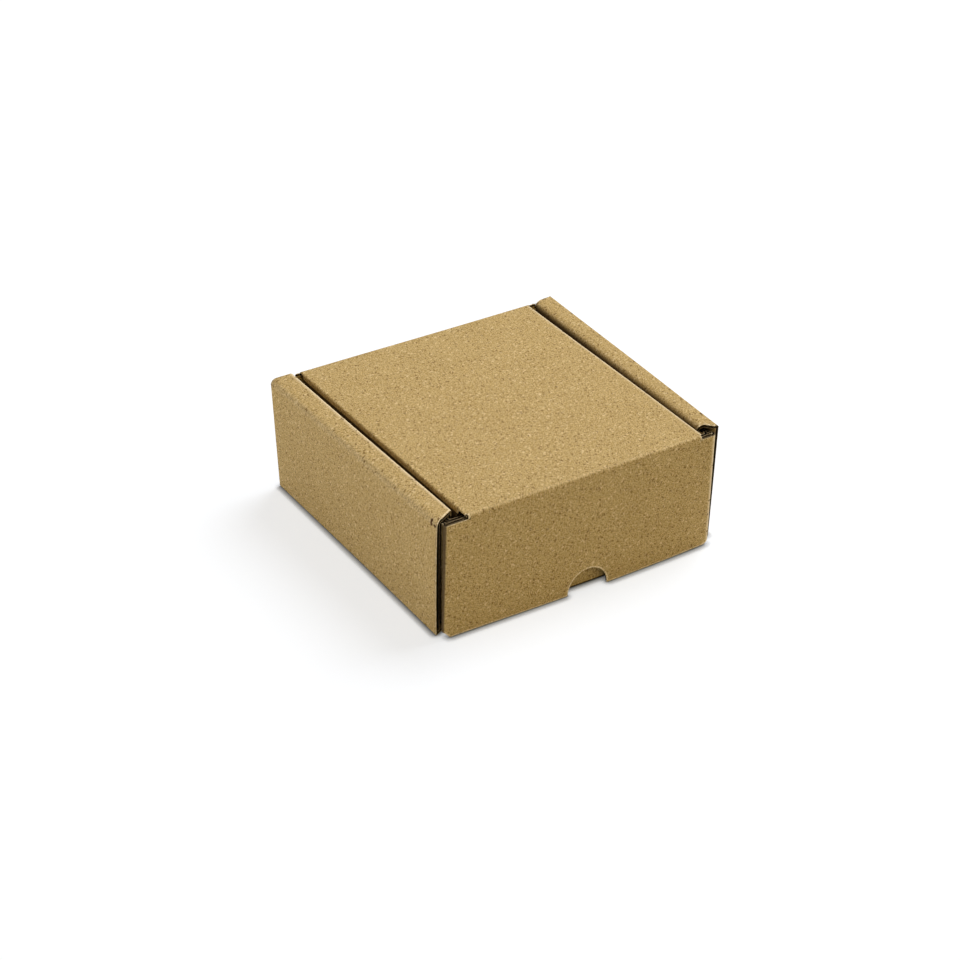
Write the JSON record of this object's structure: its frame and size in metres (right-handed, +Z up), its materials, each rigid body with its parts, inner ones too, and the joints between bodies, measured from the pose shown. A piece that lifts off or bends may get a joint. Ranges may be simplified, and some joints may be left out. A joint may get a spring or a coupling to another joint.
{
  "type": "mailer box",
  "caption": "Small closed mailer box folded from brown corrugated card, with roll-over side rails, a lid lying between them and a hinged front flap with a thumb notch.",
  "frame": {"origin": "under the middle of the closed box, on the surface that it stands on", "axes": "+X to the right as the box is seen from its front flap, +Y from the front flap to the back, +Z up"},
  "size_m": [0.1192, 0.114, 0.0455],
  "materials": {
    "kraft_board": "matt brown kraft liner with fine paper fibres"
  },
  "bodies": {
    "carton": {"tray": "kraft_board", "lid": "kraft_board"},
    "front_flap": {"front_flap": "kraft_board"}
  },
  "joints": [
    {"name": "front_flap_hinge", "type": "hinge", "parent": "carton", "child": "front_flap", "pos_m": [0, -0.0543, 0.045], "axis": [-1, 0, 0], "range_deg": [0, 110]}
  ]
}
